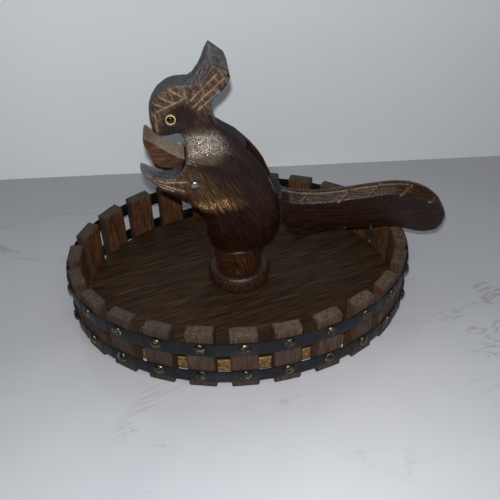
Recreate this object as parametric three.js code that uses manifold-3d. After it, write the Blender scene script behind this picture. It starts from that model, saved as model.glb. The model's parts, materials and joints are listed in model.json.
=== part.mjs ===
// A lever nutcracker carved as a crested bird, standing on a turned foot in an oval tray of upright slats.
// Millimetres, +Z up, the beak points along -X and the tail is the handle. The slats' feet are at height 0.
import * as THREE from "three";
import { mergeVertices } from "three/addons/utils/BufferGeometryUtils.js";
import Module from "manifold-3d";

const wasm = await Module();
wasm.setup();

// Fits shared by all pieces
const clearance = 0.3;
const overrun = 4;

// Tray: an oval of slats nailed to the edge of a board by two iron bands
const trayLength = 274;
const trayWidth = 211.2;
const slatCount = 24;
const slatWidth = 20.5;
const slatThickness = 10.5;
const slatHeight = 52.7;
const slatBevel = 1;
const firstSlatOffset = -5.4;
const boardThickness = 12;
const boardRaise = 5;
const bandHeight = 12;
const bandThickness = 1;
const lowerBandRaise = 5;
const upperBandRaise = 34;

// Nails: round heads on square-cut shanks, the lower ones long enough to reach into the board
const nailHeadRadius = 4.6;
const nailHeadRise = 2.4;
const nailShankRadius = 0.9;
const nailPointLength = 2;
const nailLift = 1;
const bandNailLength = 10;
const boardNailLength = 17;

// Turned foot, neck and the tenon that fixes the bird to the board
const footRadius = 25.6;
const footBulge = 6;
const footHeight = 15.4;
const neckRadius = 19.6;
const neckWaist = 1;
const tenonRadius = 9;
const tenonDepth = 7;
const screwRadius = 2.2;
const screwHeadRadius = 4.6;
const screwHeadDepth = 2.6;
const screwReach = 22;

// Bird: measured from the board's top face and from the upright line through its neck
const birdHeight = 178.5;
const beakReach = 67.5;
const backReach = 33.8;
const bodyThickness = 40.6;
const crestThickness = 19;
const crestEdgeThickness = 6;

// Pivot and the lever that turns on it
const pinRadius = 2.6;
const pinHeadRadius = 3.5;
const pinHeadRise = 1.2;
const pinShares = [-0.455, 0.594];
const leverThickness = 18.6;
const hubRadius = 12.4;
const leverSwing = THREE.MathUtils.degToRad(40);
const tailLength = 134.6;
const tailGap = 0.8;
const tailThickness = 18;
const tailEdgeThickness = 3.4;
const tailFootThickness = 16;

// Eyes: a pale ring round a dark domed stud, let into each side of the head
const eyeForward = 43.5;
const eyeBelowTop = 24.2;
const eyeRingRadius = 4.1;
const pupilRadius = 2.5;
const eyeInset = 1.4;
const eyeRise = 0.9;
const pupilRise = 1.6;
const pupilStudDepth = 5;

// Facets of round forms
const rimSteps = 96;
const sectionSteps = 24;
const turnedSides = 32;
const smallSides = 16;
const nailSides = 8;
const swingSteps = 3;

// Sizes that follow from those above
const boardTop = boardRaise + boardThickness;
const footTop = boardTop + footHeight;
const neckBottom = footTop + clearance;
const headTop = boardTop + birdHeight;
const slotWidth = leverThickness + 2 * clearance;
const pin = new THREE.Vector3(beakReach * pinShares[0], 0, boardTop + birdHeight * pinShares[1]);
const tailHeel = backReach + 2 * clearance;
const tailDrop = pin.z - slatHeight - tailGap;

const woods = {
  slat: { color: 0x6b5a49, roughness: 0.7, metalness: 0 },
  board: { color: 0x4a3222, roughness: 0.5, metalness: 0 },
  carved: { color: 0x3a2116, roughness: 0.35, metalness: 0 },
};
const metals = {
  iron: { color: 0x2c3138, roughness: 0.5, metalness: 0.85 },
  steel: { color: 0xc9ccd0, roughness: 0.25, metalness: 1 },
};
const inlays = {
  ring: { color: 0xe3dba6, roughness: 0.35, metalness: 0 },
  pupil: { color: 0x0c0b0a, roughness: 0.2, metalness: 0 },
};

// A geometry as a solid that can be joined and cut.
function solidOf(geometry) {
  const bare = geometry.clone();
  bare.deleteAttribute("normal");
  bare.deleteAttribute("uv");
  const merged = mergeVertices(bare, 1e-4);
  const vertProperties = new Float32Array(merged.attributes.position.array);
  const triVerts = new Uint32Array(merged.index.array);
  return new wasm.Manifold(new wasm.Mesh({ numProp: 3, vertProperties, triVerts }));
}

// A solid as a geometry that three.js can show.
function geometryOf(solid) {
  const { numProp, vertProperties, triVerts } = solid.getMesh();
  const positions = [];
  for (let start = 0; start < vertProperties.length; start += numProp) {
    positions.push(...vertProperties.subarray(start, start + 3));
  }
  const geometry = new THREE.BufferGeometry();
  geometry.setAttribute("position", new THREE.Float32BufferAttribute(positions, 3));
  geometry.setIndex([...triVerts]);
  return geometry;
}

// The piece that is left of a base when other shapes are joined to it and then cut from it.
function carve(base, joined = [], cut = []) {
  const whole = joined.reduce((solid, geometry) => solid.add(solidOf(geometry)), solidOf(base));
  return geometryOf(cut.reduce((solid, geometry) => solid.subtract(solidOf(geometry)), whole));
}

function named(name, geometry, finish) {
  const material = new THREE.MeshStandardMaterial(finish);
  const mesh = new THREE.Mesh(geometry, material);
  material.name = name;
  mesh.name = name;
  return mesh;
}

// A stack of rings of equal count, closed by a flat cap at each end. The flat function lays a ring's
// points out in a plane in which they run anticlockwise.
function loft(rings, flat) {
  const count = rings[0].length;
  const top = (rings.length - 1) * count;
  const positions = rings.flat().flatMap((point) => point.toArray());
  const faces = [];
  for (let level = 0; level < top; level += count) {
    for (let side = 0; side < count; side += 1) {
      const here = level + side;
      const next = level + ((side + 1) % count);
      faces.push(here, next, next + count, here, next + count, here + count);
    }
  }
  const lastCap = THREE.ShapeUtils.triangulateShape(rings[rings.length - 1].map(flat), []);
  const firstCap = THREE.ShapeUtils.triangulateShape(rings[0].map(flat), []);
  firstCap.forEach(([a, b, c]) => faces.push(a, c, b));
  lastCap.forEach(([a, b, c]) => faces.push(top + a, top + b, top + c));
  const geometry = new THREE.BufferGeometry();
  geometry.setAttribute("position", new THREE.Float32BufferAttribute(positions, 3));
  geometry.setIndex(faces);
  return geometry;
}

// A rod along +Z from a base height, or across the object about the line y = 0.
function rod(radius, from, length, sides) {
  const geometry = new THREE.CylinderGeometry(radius, radius, length, sides);
  return geometry.rotateX(Math.PI / 2).translate(0, 0, from + length / 2);
}

function crossRod(radius, length, x, z, sides) {
  return new THREE.CylinderGeometry(radius, radius, length, sides).translate(x, 0, z);
}

// A turned piece about the Z axis from a profile of [radius, height] points.
function turned(profile, sides) {
  const points = profile.map(([radius, height]) => new THREE.Vector2(radius, height));
  return new THREE.LatheGeometry(points, sides).rotateX(Math.PI / 2);
}

// A side outline in X and Z, as a plank of even thickness across the object.
function plank(outline, thickness) {
  const shape = new THREE.Shape(outline.map(({ x, y }) => new THREE.Vector2(x, y)));
  const geometry = new THREE.ExtrudeGeometry(shape, { depth: thickness, bevelEnabled: false });
  return geometry.rotateX(Math.PI / 2).translate(0, thickness / 2, 0);
}

// The tray's rim: a point on the oval at a parameter angle, moved inwards along the normal.
function rimPoint(angle, inset = 0) {
  const normal = new THREE.Vector2(Math.cos(angle) / trayLength, Math.sin(angle) / trayWidth).normalize();
  const x = (trayLength / 2) * Math.cos(angle) - inset * normal.x;
  const y = (trayWidth / 2) * Math.sin(angle) - inset * normal.y;
  return { x, y, normal };
}

// The slats stand at equal steps along the rim, counted from its front.
const rim = new THREE.EllipseCurve(0, 0, trayLength / 2, trayWidth / 2);
rim.arcLengthDivisions = 2000;
const slatPlaces = Array.from({ length: slatCount }, (_, index) => {
  const along = 0.75 + firstSlatOffset / rim.getLength() + index / slatCount;
  return rimPoint(2 * Math.PI * rim.getUtoTmapping(along % 1));
});

// Stands a shape made at the origin, facing +X, at a slat's place.
function standAt(geometry, place, raise = 0) {
  return geometry.rotateZ(Math.atan2(place.normal.y, place.normal.x)).translate(place.x, place.y, raise);
}

// A hole that lets a nail shank in from the face of a slat, facing +X.
function nailHole(place, raise, length) {
  const depth = length + clearance + overrun;
  const hole = new THREE.CylinderGeometry(
    nailShankRadius + clearance, nailShankRadius + clearance, depth, nailSides,
  );
  hole.rotateZ(Math.PI / 2).translate(overrun - depth / 2, 0, 0);
  return standAt(hole, place, raise);
}

function slatNailHeights() {
  return {
    lower: lowerBandRaise + bandHeight / 2 + nailLift,
    upper: upperBandRaise + bandHeight / 2 + nailLift,
  };
}

function slat(place) {
  const wide = slatWidth / 2 - slatBevel;
  const deep = slatThickness - 2 * slatBevel;
  const section = new THREE.Shape();
  section.moveTo(-slatBevel, -wide);
  section.lineTo(-slatBevel, wide);
  section.lineTo(-slatBevel - deep, wide);
  section.lineTo(-slatBevel - deep, -wide);
  const block = new THREE.ExtrudeGeometry(section, {
    depth: slatHeight - 2 * slatBevel,
    bevelThickness: slatBevel,
    bevelSize: slatBevel,
    bevelSegments: 1,
  });
  const { lower, upper } = slatNailHeights();
  const holes = [
    nailHole(place, lower, boardNailLength),
    nailHole(place, upper, bandNailLength),
  ];
  return carve(standAt(block, place, slatBevel), [], holes);
}

function boardOutline() {
  const inset = slatThickness + clearance;
  return Array.from({ length: rimSteps }, (_, step) => {
    const { x, y } = rimPoint((2 * Math.PI * step) / rimSteps, inset);
    return new THREE.Vector2(x, y);
  });
}

function trayBoard() {
  const plate = new THREE.ExtrudeGeometry(new THREE.Shape(boardOutline()), {
    depth: boardThickness,
    bevelEnabled: false,
  }).translate(0, 0, boardRaise);
  const socket = rod(tenonRadius + clearance, boardTop - tenonDepth - clearance, birdHeight, turnedSides);
  const screwHole = rod(screwRadius + clearance, 0, boardTop, smallSides);
  const sink = rod(screwHeadRadius + clearance, 0, boardRaise + screwHeadDepth + clearance, smallSides);
  const { lower } = slatNailHeights();
  const nailHoles = slatPlaces.map((place) => nailHole(place, lower, boardNailLength));
  return carve(plate, [], [socket, screwHole, sink, ...nailHoles]);
}

// The band lies flat on each slat and runs straight from one slat to the next.
function bandOutline(offset) {
  return slatPlaces.flatMap(({ x, y, normal }) => [-1, 1].map((side) => new THREE.Vector2(
    x + offset * normal.x - (side * slatWidth * normal.y) / 2,
    y + offset * normal.y + (side * slatWidth * normal.x) / 2,
  )));
}

function nail(length) {
  const domeShares = [[0, 1], [0.45, 0.88], [0.82, 0.5], [1, 0]];
  const dome = domeShares.map(([out, up]) => [out * nailHeadRadius, up * nailHeadRise]);
  const shank = [
    [nailShankRadius, 0],
    [nailShankRadius, nailPointLength - length],
    [0, -length],
  ];
  return turned([...shank.reverse(), ...dome.reverse()], nailSides).rotateY(Math.PI / 2);
}

function band(raise, nailHeight, nailLength) {
  const strip = new THREE.Shape(bandOutline(clearance + bandThickness));
  strip.holes.push(new THREE.Path(bandOutline(clearance).reverse()));
  const hoop = new THREE.ExtrudeGeometry(strip, { depth: bandHeight, bevelEnabled: false });
  hoop.translate(0, 0, raise);
  const nails = slatPlaces.map((place) => {
    const tack = nail(nailLength).translate(clearance + bandThickness - nailHeadRise / 8, 0, 0);
    return standAt(tack, place, nailHeight);
  });
  return carve(hoop, nails);
}

function turnedFoot() {
  const arcSteps = 10;
  const arcEnd = THREE.MathUtils.degToRad(76);
  const bottom = boardTop + clearance;
  const middle = (bottom + footTop) / 2;
  const bulge = Array.from({ length: arcSteps + 1 }, (_, step) => {
    const angle = arcEnd * ((2 * step) / arcSteps - 1);
    const lift = Math.sin(angle) / Math.sin(arcEnd);
    return [footRadius - footBulge * (1 - Math.cos(angle)), middle + (lift * (footTop - bottom)) / 2];
  });
  const bore = tenonRadius + clearance;
  return turned([[bore, bottom], ...bulge, [bore, footTop], [bore, bottom]], turnedSides);
}

// Side outlines of the bird are shares of its reach and of its height above the board.
function birdPoint([reachShare, heightShare]) {
  return new THREE.Vector2(beakReach * reachShare, boardTop + birdHeight * heightShare);
}

// Each row is a level section: height, front, back, thickness and squareness of the corners.
const bodyShares = [
  [0.224, -0.193, 0.385, 0.837, 2.8],
  [0.246, -0.289, 0.621, 0.975, 3.2],
  [0.275, -0.333, 0.799, 1, 3.6],
  [0.319, -0.364, 0.947, 1, 4],
  [0.37, -0.37, 1, 1, 4],
  [0.42, -0.385, 0.976, 1, 4],
  [0.465, -0.504, 0.932, 1, 4.4],
  [0.504, -0.63, 0.873, 0.985, 5],
  [0.543, -0.77, 0.799, 0.985, 5],
  [0.571, -0.867, 0.74, 0.985, 5],
  [0.605, -0.936, 0.666, 0.985, 5],
  [0.639, -0.981, 0.562, 0.975, 5],
  [0.678, -1, 0.414, 0.936, 5],
  [0.717, -0.963, 0.251, 0.857, 4.6],
  [0.756, -0.904, 0.068, 0.739, 4.4],
  [0.79, -0.859, -0.178, 0.621, 4.4],
  [0.818, -0.847, -0.355, 0.542, 4.6],
  [0.857, -0.862, -0.423, 0.512, 5],
  [0.902, -0.858, -0.438, 0.493, 5],
  [0.936, -0.822, -0.414, 0.483, 5],
  [0.969, -0.759, -0.473, 0.473, 5],
  [0.992, -0.67, -0.68, 0.458, 5],
  [1, -0.593, -0.858, 0.433, 5],
];

function bodySection([heightShare, frontShare, backShare, thickShare, squareness]) {
  const front = beakReach * frontShare;
  const back = backReach * backShare;
  const half = (bodyThickness * thickShare) / 2;
  const rounded = (value) => Math.sign(value) * Math.abs(value) ** (2 / squareness);
  return Array.from({ length: sectionSteps }, (_, step) => {
    const angle = (2 * Math.PI * (step + 0.5)) / sectionSteps;
    return new THREE.Vector3(
      (front + back) / 2 + ((back - front) / 2) * rounded(Math.cos(angle)),
      half * rounded(Math.sin(angle)),
      boardTop + birdHeight * heightShare,
    );
  });
}

// The crest is two feathers thick: a full-width lower outline and a thin, taller middle one.
const crestSideShares = [
  [-0.533, 0.958], [-0.489, 0.997], [-0.393, 0.994], [-0.341, 0.999], [-0.293, 1.012],
  [-0.249, 1.034], [-0.201, 1.064], [-0.022, 1.017], [-0.01, 1.002], [-0.092, 0.97],
  [-0.173, 0.947], [-0.218, 0.919], [-0.213, 0.868], [-0.444, 0.868],
];
const crestMiddleShares = [
  [-0.533, 0.958], [-0.489, 1.001], [-0.4, 1.022], [-0.331, 1.053], [-0.289, 1.083],
  [-0.259, 1.112], [-0.212, 1.142], [-0.067, 1.097], [-0.035, 1.063], [-0.052, 1.014],
  [-0.133, 0.961], [-0.218, 0.919], [-0.213, 0.868], [-0.444, 0.868],
];

function crest() {
  const ring = (shares, y) => shares.map(birdPoint).map(({ x, y: z }) => new THREE.Vector3(x, y, z));
  const side = crestThickness / 2;
  const edge = crestEdgeThickness / 2;
  const rings = [
    ring(crestSideShares, -side),
    ring(crestMiddleShares, -edge),
    ring(crestMiddleShares, edge),
    ring(crestSideShares, side),
  ];
  return loft(rings, ({ x, z }) => new THREE.Vector2(z, x));
}

// The open mouth between the fixed lower beak and the head.
const mouthShares = [
  [-0.994, 0.689], [-0.916, 0.663], [-0.785, 0.644], [-0.652, 0.648], [-0.557, 0.675], [-0.513, 0.723],
  [-0.521, 0.77], [-0.566, 0.803], [-0.696, 0.797], [-0.8, 0.801], [-0.844, 0.812],
];

function mouthCut() {
  const curve = new THREE.SplineCurve(mouthShares.map(birdPoint)).getPoints(3 * mouthShares.length);
  const ahead = -beakReach - overrun;
  const last = curve[curve.length - 1];
  const outline = [new THREE.Vector2(ahead, curve[0].y + overrun / 2), ...curve, new THREE.Vector2(ahead, last.y)];
  return plank(outline, bodyThickness + 2 * overrun);
}

function neck() {
  const shoulder = birdPoint([0, bodyShares[2][0]]).y;
  const waistHeight = neckBottom + (shoulder - neckBottom) / 3;
  return turned([
    [0, boardTop - tenonDepth],
    [tenonRadius, boardTop - tenonDepth],
    [tenonRadius, neckBottom],
    [neckRadius - neckWaist, neckBottom],
    [neckRadius, waistHeight],
    [neckRadius, shoulder],
    [0, shoulder],
  ], turnedSides);
}

// Turns a shape about the pivot, tail upwards.
function swung(geometry, angle) {
  return geometry.translate(-pin.x, 0, -pin.z).rotateY(-angle).translate(pin.x, 0, pin.z);
}

// The shank runs from the pivot to the tail's first section.
function shankLine() {
  const [, topShare, , bottomShare] = tailShares[0];
  const droop = Math.atan2((tailDrop * (topShare + bottomShare)) / 2, tailHeel - pin.x);
  const depth = tailDrop * (bottomShare - topShare) * Math.cos(droop);
  return { droop, depth };
}

// The slot is what the hub, the shank and the moving jaw sweep through, with the clearance round it.
function slotCuts() {
  const { droop, depth } = shankLine();
  const reach = backReach - pin.x + tailThickness;
  const bars = Array.from({ length: swingSteps + 1 }, (_, step) => {
    const bar = new THREE.BoxGeometry(reach, slotWidth, depth + 2 * clearance);
    bar.translate(pin.x + reach / 2, 0, pin.z);
    return swung(bar, (leverSwing * step) / swingSteps - droop);
  });
  const hub = crossRod(hubRadius + 2 * clearance, slotWidth, pin.x, pin.z, turnedSides);
  const root = birdPoint(jawRootShares);
  const jawGap = new THREE.Shape();
  const ahead = -beakReach - overrun;
  jawGap.moveTo(ahead, pin.z - 2 * hubRadius);
  jawGap.lineTo(ahead, root.y + 3 * clearance);
  jawGap.lineTo(root.x + clearance, root.y + 3 * clearance);
  jawGap.lineTo(pin.x + clearance, pin.z + hubRadius + 6 * clearance);
  jawGap.lineTo(pin.x + clearance, pin.z);
  jawGap.lineTo(pin.x - hubRadius / 2, pin.z);
  jawGap.lineTo(pin.x - hubRadius / 2, pin.z - hubRadius - clearance);
  jawGap.lineTo(pin.x - hubRadius - 2 * clearance, pin.z - hubRadius - clearance);
  jawGap.lineTo(pin.x - hubRadius - 2 * clearance, pin.z - 2 * hubRadius);
  return [...bars, hub, plank(jawGap.getPoints(), slotWidth)];
}

// Half the body's thickness at a share of its height.
function halfThicknessAt(heightShare) {
  const above = bodyShares.findIndex(([share]) => share >= heightShare);
  const [lowShare, , , lowThick] = bodyShares[above - 1];
  const [highShare, , , highThick] = bodyShares[above];
  const part = (heightShare - lowShare) / (highShare - lowShare);
  return (bodyThickness * THREE.MathUtils.lerp(lowThick, highThick, part)) / 2;
}

// Seat of an eye on one side of the head, where side is -1 for the right and 1 for the left.
function eyeAt(geometry, side) {
  const eyeHeight = birdHeight - eyeBelowTop;
  const seat = halfThicknessAt(eyeHeight / birdHeight) - eyeInset;
  geometry.rotateX((-side * Math.PI) / 2);
  return geometry.translate(-eyeForward, side * seat, boardTop + eyeHeight);
}

function eyeRing(side) {
  const height = eyeInset + eyeRise;
  const bore = pupilRadius + clearance;
  const profile = [
    [bore, clearance],
    [eyeRingRadius, clearance],
    [eyeRingRadius, eyeInset],
    [(bore + eyeRingRadius) / 2, height],
    [bore, height],
    [bore, clearance],
  ];
  return eyeAt(turned(profile, smallSides), side);
}

function pupil(side) {
  const height = eyeInset + pupilRise;
  const stud = pupilRadius / 2;
  const profile = [
    [0, clearance - pupilStudDepth],
    [stud, clearance - pupilStudDepth],
    [stud, clearance],
    [pupilRadius, clearance],
    [pupilRadius, eyeInset + eyeRise / 2],
    [pupilRadius * Math.SQRT1_2, (height + eyeInset + eyeRise) / 2],
    [0, height],
  ];
  return eyeAt(turned(profile, smallSides), side);
}

function eyeSeat(side) {
  const ring = rod(eyeRingRadius + clearance, 0, overrun, smallSides);
  const stud = rod(pupilRadius / 2 + clearance, -pupilStudDepth, pupilStudDepth + overrun, smallSides);
  return [eyeAt(ring, side), eyeAt(stud, side)];
}

function birdBody() {
  const torso = loft(bodyShares.map(bodySection), ({ x, y }) => new THREE.Vector2(x, y));
  const pinBore = crossRod(pinRadius + clearance, 2 * bodyThickness, pin.x, pin.z, smallSides);
  const screwBore = rod(screwRadius + clearance, 0, boardRaise + screwReach + clearance, smallSides);
  const eyes = [-1, 1].flatMap(eyeSeat);
  return carve(torso, [neck(), crest()], [mouthCut(), ...slotCuts(), pinBore, screwBore, ...eyes]);
}

// The moving jaw's outline fits the mouth, so it follows the bird's sizes too.
const jawRootShares = [-0.55, 0.691];
const jawTopShares = [[-0.928, 0.801], [-0.88, 0.781], [-0.804, 0.757], [-0.718, 0.731], [-0.64, 0.709]];
const jawBelowShares = [
  [-0.631, 0.583], [-0.674, 0.643], [-0.741, 0.648], [-0.813, 0.655], [-0.861, 0.672],
  [-0.896, 0.696], [-0.917, 0.729], [-0.951, 0.753], [-0.954, 0.784],
];

function jaw() {
  const hubTop = new THREE.Vector2(pin.x, pin.z + hubRadius + clearance);
  const hubBottom = new THREE.Vector2(pin.x, pin.z - hubRadius / 2);
  const top = [...jawTopShares, jawRootShares].map(birdPoint);
  return plank([...top, hubTop, hubBottom, ...jawBelowShares.map(birdPoint)], leverThickness);
}

// Each row is an upright section of the tail: distance from its heel, its top edge, the ridge where the
// bevel starts and its underside, all below the pivot, and its thickness.
const tailShares = [
  [0, 0.282, 0.374, 0.658, 1],
  [0.042, 0.324, 0.424, 0.82, 0.98],
  [0.083, 0.345, 0.439, 0.929, 1],
  [0.138, 0.363, 0.458, 0.896, 1],
  [0.197, 0.374, 0.463, 0.861, 1],
  [0.264, 0.38, 0.463, 0.832, 1],
  [0.338, 0.371, 0.452, 0.826, 1],
  [0.427, 0.358, 0.442, 0.851, 1],
  [0.522, 0.341, 0.429, 0.857, 1],
  [0.61, 0.329, 0.417, 0.851, 1],
  [0.681, 0.331, 0.423, 0.88, 1],
  [0.76, 0.355, 0.46, 0.939, 1],
  [0.822, 0.4, 0.504, 0.981, 0.99],
  [0.874, 0.456, 0.554, 1, 0.97],
  [0.911, 0.514, 0.604, 1, 0.94],
  [0.948, 0.59, 0.669, 0.993, 0.88],
  [0.981, 0.698, 0.741, 0.936, 0.74],
  [1, 0.784, 0.804, 0.857, 0.48],
];

function tailSection([alongShare, topShare, ridgeShare, bottomShare, thickShare]) {
  const x = tailHeel + tailLength * alongShare;
  const half = (tailThickness * thickShare) / 2;
  const edge = (tailEdgeThickness * thickShare) / 2;
  const foot = (tailFootThickness * thickShare) / 2;
  const top = pin.z - tailDrop * topShare;
  const ridge = pin.z - tailDrop * ridgeShare;
  const bottom = pin.z - tailDrop * bottomShare;
  const belly = bottom + (ridge - bottom) / 4;
  const corners = [[foot, bottom], [half, belly], [half, ridge], [edge, top]];
  const far = corners.map(([y, z]) => new THREE.Vector3(x, y, z));
  const near = corners.reverse().map(([y, z]) => new THREE.Vector3(x, -y, z));
  return [...far, ...near];
}

function lever() {
  const [, topShare, , bottomShare] = tailShares[0];
  const { droop, depth } = shankLine();
  const lean = new THREE.Vector2(Math.sin(droop), Math.cos(droop)).multiplyScalar(depth / 2);
  const shank = plank([
    new THREE.Vector2(pin.x + lean.x, pin.z + lean.y),
    new THREE.Vector2(tailHeel, pin.z - tailDrop * topShare),
    new THREE.Vector2(tailHeel, pin.z - tailDrop * bottomShare),
    new THREE.Vector2(pin.x - lean.x, pin.z - lean.y),
  ], leverThickness);
  const tail = loft(tailShares.map(tailSection), ({ y, z }) => new THREE.Vector2(y, z));
  const hub = crossRod(hubRadius, leverThickness, pin.x, pin.z, turnedSides);
  const bore = crossRod(pinRadius + clearance, 2 * leverThickness, pin.x, pin.z, smallSides);
  return carve(shank, [tail, hub, jaw()], [bore]);
}

function pivotPin() {
  const face = bodyThickness / 2 + clearance;
  const end = face + pinHeadRise;
  const shoulder = (pinHeadRadius + pinRadius) / 2;
  return turned([
    [0, -end],
    [shoulder, clearance - end],
    [pinHeadRadius, -face],
    [pinRadius, -face],
    [pinRadius, face],
    [pinHeadRadius, face],
    [shoulder, end - clearance],
    [0, end],
  ], smallSides).rotateX(-Math.PI / 2).translate(pin.x, 0, pin.z);
}

function baseScrew() {
  const head = boardRaise;
  return turned([
    [0, head],
    [screwHeadRadius, head],
    [screwHeadRadius, head + screwHeadDepth],
    [screwRadius, head + screwHeadDepth],
    [screwRadius, head + screwReach - screwRadius],
    [0, head + screwReach],
  ], smallSides);
}

function tray() {
  const group = new THREE.Group();
  const { lower, upper } = slatNailHeights();
  group.add(named("tray_board", trayBoard(), woods.board));
  slatPlaces.forEach((place, index) => {
    group.add(named(`slat_${String(index + 1).padStart(2, "0")}`, slat(place), woods.slat));
  });
  group.add(named("lower_band", band(lowerBandRaise, lower, boardNailLength), metals.iron));
  group.add(named("upper_band", band(upperBandRaise, upper, bandNailLength), metals.iron));
  return group;
}

function bird() {
  const group = new THREE.Group();
  group.add(named("turned_foot", turnedFoot(), woods.carved));
  group.add(named("bird_body", birdBody(), woods.carved));
  group.add(named("lever", lever(), woods.carved));
  group.add(named("pivot_pin", pivotPin(), metals.steel));
  group.add(named("base_screw", baseScrew(), metals.steel));
  [["right", -1], ["left", 1]].forEach(([word, side]) => {
    group.add(named(`eye_ring_${word}`, eyeRing(side), inlays.ring));
    group.add(named(`pupil_${word}`, pupil(side), inlays.pupil));
  });
  return group;
}

// The origin lies under the middle of the whole object, tail included.
const group = new THREE.Group();
group.add(tray(), bird());
const bounds = new THREE.Box3().setFromObject(group);
group.position.x = -(bounds.min.x + bounds.max.x) / 2;

export default group;
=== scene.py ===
"""A carved bird lever nutcracker in an oval slatted tray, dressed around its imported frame. Metres, +Z up."""
import json
import math
import random
import bmesh
import bpy
import numpy as np
from mathutils import Matrix, Vector, kdtree, noise


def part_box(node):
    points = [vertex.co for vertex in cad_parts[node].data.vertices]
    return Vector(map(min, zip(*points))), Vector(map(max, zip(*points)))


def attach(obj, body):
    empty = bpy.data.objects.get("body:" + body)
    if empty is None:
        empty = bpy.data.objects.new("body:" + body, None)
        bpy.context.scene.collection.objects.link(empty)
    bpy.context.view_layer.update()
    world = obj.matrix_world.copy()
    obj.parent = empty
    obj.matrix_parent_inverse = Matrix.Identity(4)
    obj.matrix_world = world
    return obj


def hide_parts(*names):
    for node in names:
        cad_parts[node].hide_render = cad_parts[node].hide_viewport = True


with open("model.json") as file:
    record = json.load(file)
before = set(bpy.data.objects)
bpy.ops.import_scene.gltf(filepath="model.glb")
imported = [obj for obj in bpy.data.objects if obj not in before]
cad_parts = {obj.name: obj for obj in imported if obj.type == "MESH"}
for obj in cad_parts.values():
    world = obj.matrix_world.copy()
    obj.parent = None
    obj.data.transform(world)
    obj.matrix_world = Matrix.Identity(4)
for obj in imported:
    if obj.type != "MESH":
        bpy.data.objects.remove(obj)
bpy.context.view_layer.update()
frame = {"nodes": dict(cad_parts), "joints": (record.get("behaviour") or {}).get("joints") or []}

MM = 0.001
scene = bpy.context.scene
nodes = frame["nodes"]
PIN = Vector(frame["joints"][0]["pos_m"])
SLATS = sorted(name for name in nodes if name.startswith("slat_"))
UP = Vector((0, 0, 1))

# Camera: where the photograph was taken from, measured from the middle of the tray
CAMERA_SPOT = Vector((-28.0, -428.1, 386.6)) * MM
CAMERA_TURN = math.radians(5)
CAMERA_TILT = math.radians(38.61)
CAMERA_ROLL = math.radians(1.68)
CAMERA_LENS = 48.2
SENSOR_WIDTH = 36
FLASH_FROM_LENS = Vector((-0.004, 0.021, 0.0))
WALL_FOOT_LEFT = Vector((-0.1912, 0.2084, 0))
WALL_FOOT_RIGHT = Vector((0.2467, 0.1857, 0))

board_low, board_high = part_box("tray_board")
TRAY_MIDDLE = (board_low + board_high) / 2
TRAY_MIDDLE.z = 0

# All sizes below are in millimetres. Slats: worn edges, and noise as (turns per millimetre, height)
SLAT_EDGE = 0.8
SLAT_CELLS = (12, 7, 34)
SLAT_WAVES = [(0.09, 0.28), (0.6, 0.1)]
SLAT_END_WAVE = (1.5, 0.22)
SLAT_END_WEAR = 0.1
SLAT_CORNER_WEAR = 0.2
SLAT_CORNER_CHIPS = (0.35, 0.75)
SLAT_PROUDEST = 0.12
SLAT_TALLER = (-0.8, 0.5)

# Bands and nails
BAND_HEIGHTS = {"lower_band": 0.9, "upper_band": 1.0}
BAND_LIFTS = {"lower_band": 1.6, "upper_band": 0.0}
BAND_GAP = 0.3
BAND_SECTION = [
    (0, 0.42), (0.15, 0.5), (0.85, 0.5), (1, 0.42), (1, -0.42), (0.85, -0.5), (0.15, -0.5), (0, -0.42),
]
NAIL_RADIUS = 4.6
NAIL_RISE = 2.4
NAIL_SEAT = 1.15
NAIL_LIFT = 1.0

# Board, foot, pin, screw and eyes; the turn and the arc are in degrees
BOARD_GRAIN_TURN = -16
BOARD_ROUNDING = 1.3
FOOT_BEAD = 5.6
FOOT_ARC = (-80, 152)
PIN_SHANK = 2.6
PIN_DOME = 1.2
SCREW_HEAD_DEPTH = 2.6
SCREW_SHANK = 2.2
SCREW_TURNS = 12
EYE_RING_SHARE = 0.9
EYE_BORE = 2.75

# Carving: the even mesh that it starts from, and the lines that are cut into it
CARVED_VOXEL = 0.75
EDGE_KEPT = (0.8, 4.5)
SMOOTH_ROUNDS = 45
WEAR_ROUNDS = 3
CUT_WIDTH = 0.62
CUT_DEPTH = 0.9
BORDER_WIDTH = 0.55
BORDER_DEPTH = 0.5

# Carved cuts on the bird's sides, as points of x and z
HEAD_CUTS = [
    [(-24.5, 201.9), (-43.2, 184.4)],
    [(-19.4, 199.0), (-41.5, 179.6)],
    [(-22.7, 189.8), (-38.4, 177.4)],
    [(-66.3, 177.6), (-47.8, 185.9)],
    [(-57.6, 193.1), (-46.3, 186.1)],
    [(-47.5, 193.1), (-45.5, 183.0)],
    [(-64.1, 188.2), (-54.4, 182.9)],
    [(-68.5, 183.6), (-60.3, 180.3)],
    [(-63.8, 190.5), (-58.5, 191.2)],
    [(-68.0, 175.3), (-67.7, 163.0)],
]
BEAK_CUTS = [
    [(-77.2, 129.9), (-66.0, 126.8), (-51.5, 126.2)],
    [(-75.6, 127.2), (-53.0, 118.6)],
    [(-72.6, 123.9), (-60.5, 118.8)],
]
MOUTH_CREASES = [
    [(-50.2, 142.4), (-42.3, 139.2)],
    [(-49.4, 144.1), (-43.6, 142.1)],
]
BROW_TICKS = [(-50.2, 198.1), (-40.7, 200.3), (-36.5, 202.8)]
BROW_BORDER = 5.4
BROW_LOW = 172
BROW_BACK = -24
TAIL_CUTS = [
    [(22.1, 101.6), (15.9, 99.7)],
    [(43.0, 96.9), (33.7, 92.6)],
    [(75.8, 97.9), (63.4, 90.3)],
    [(99.4, 100.2), (87.3, 93.4)],
    [(123.2, 96.7), (112.9, 92.1)],
    [(145.0, 84.8), (136.8, 83.2)],
]
TAIL_START = 17
TAIL_BORDER_INSET = 1.1
TAIL_BORDER_START = 12.0
TAIL_BORDER_END = 127.0

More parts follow.
